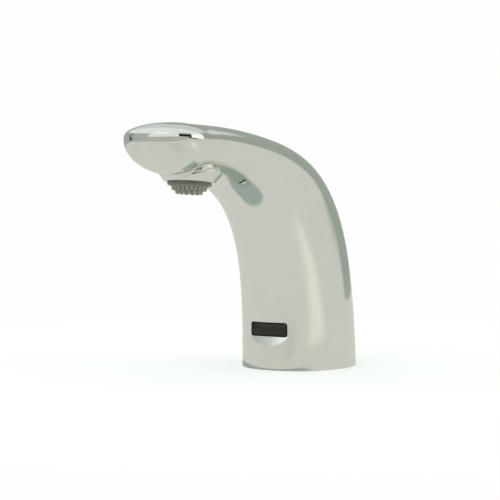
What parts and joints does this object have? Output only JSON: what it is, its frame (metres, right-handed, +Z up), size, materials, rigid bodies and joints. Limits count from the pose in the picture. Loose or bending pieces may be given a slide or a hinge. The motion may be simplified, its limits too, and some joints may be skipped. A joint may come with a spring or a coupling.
{
  "type": "deck sensor tap",
  "caption": "Deck-mounted sensor tap: a chromed spout leans forward from an oval foot to a round-nosed head with a downward spray outlet; an infrared window sits low on the front.",
  "frame": {"origin": "centre of the oval foot, on the deck", "axes": "+Z up; the spout points along -Y; X = 0 is the plane of symmetry of the casting"},
  "size_m": [0.0656, 0.1807, 0.1386],
  "materials": {
    "chrome_casting": "polished chrome plate over cast brass",
    "dark_collar": "dark moulded insert ring with a fine edge",
    "spray_rubber": "matte dark warm grey silicone",
    "window_plastic": "infrared-pass dark acrylic, polished",
    "cast_brass": "machined brass",
    "zinc_plate": "zinc-plated steel",
    "stainless": "stainless steel",
    "black_rubber": "black EPDM rubber",
    "grey_plastic": "moulded acetal",
    "black_plastic": "moulded glass-filled nylon",
    "white_plastic": "moulded acetal, natural white",
    "coil_tape": "enamelled winding under amber tape",
    "board_green": "glass-fibre circuit board with solder mask",
    "diode_clear": "tinted epoxy lens",
    "diode_dark": "dark epoxy lens",
    "copper_tube": "drawn copper",
    "lead_jacket": "soft vinyl jacket"
  },
  "bodies": {
    "tap_body": {"spout_body": "chrome_casting", "base_plate": "cast_brass", "base_gasket": "black_rubber", "cable_grommet": "black_rubber", "base_screws": "stainless", "inlet_fitting": "cast_brass", "inlet_seal": "black_rubber", "inlet_filter": "stainless", "check_valve_body": "white_plastic", "check_valve_spring": "stainless", "valve_body": "cast_brass", "diaphragm": "black_rubber", "valve_bonnet": "black_plastic", "bonnet_screws": "stainless", "plunger_spring": "stainless", "guide_tube": "stainless", "fixed_core": "stainless", "coil_bobbin": "black_plastic", "coil_winding": "coil_tape", "coil_yoke": "zinc_plate", "coil_nut": "zinc_plate", "coil_terminals": "black_plastic", "solenoid_lead": "lead_jacket", "riser_tube": "copper_tube", "riser_seal_lower": "black_rubber", "riser_seal_upper": "black_rubber", "outlet_adapter": "cast_brass", "adapter_seal": "black_rubber", "outlet_collar": "dark_collar", "spray_disc": "spray_rubber", "flow_regulator": "grey_plastic", "outlet_screen": "stainless", "outlet_washer": "black_rubber", "sensor_window": "window_plastic", "sensor_gasket": "black_rubber", "sensor_housing": "black_plastic", "sensor_board": "board_green", "ir_emitter": "diode_clear", "ir_receiver": "diode_dark", "light_barrier": "black_plastic", "sensor_screws": "stainless"},
    "solenoid_plunger": {"plunger": "stainless", "plunger_seal": "black_rubber"},
    "diaphragm_centre": {"diaphragm_insert": "white_plastic"},
    "check_poppet": {"check_valve_poppet": "grey_plastic"}
  },
  "joints": [
    {"name": "plunger_lift", "type": "slide", "parent": "tap_body", "child": "solenoid_plunger", "axis": [0, 0, 1], "range_m": [0, 0.0015], "stiffness_N_per_m": 200, "springref_m": -0.003, "deforming": ["plunger_spring"]},
    {"name": "diaphragm_lift", "type": "slide", "parent": "tap_body", "child": "diaphragm_centre", "axis": [0, 0, 1], "range_m": [0, 0.0012], "deforming": ["diaphragm"]},
    {"name": "check_valve_lift", "type": "slide", "parent": "tap_body", "child": "check_poppet", "axis": [0, 0, 1], "range_m": [0, 0.0025], "stiffness_N_per_m": 100, "springref_m": -0.002, "deforming": ["check_valve_spring"]}
  ],
  "couplings": [
    {"joint": "diaphragm_lift", "follows": "plunger_lift", "ratio": 0.8}
  ]
}
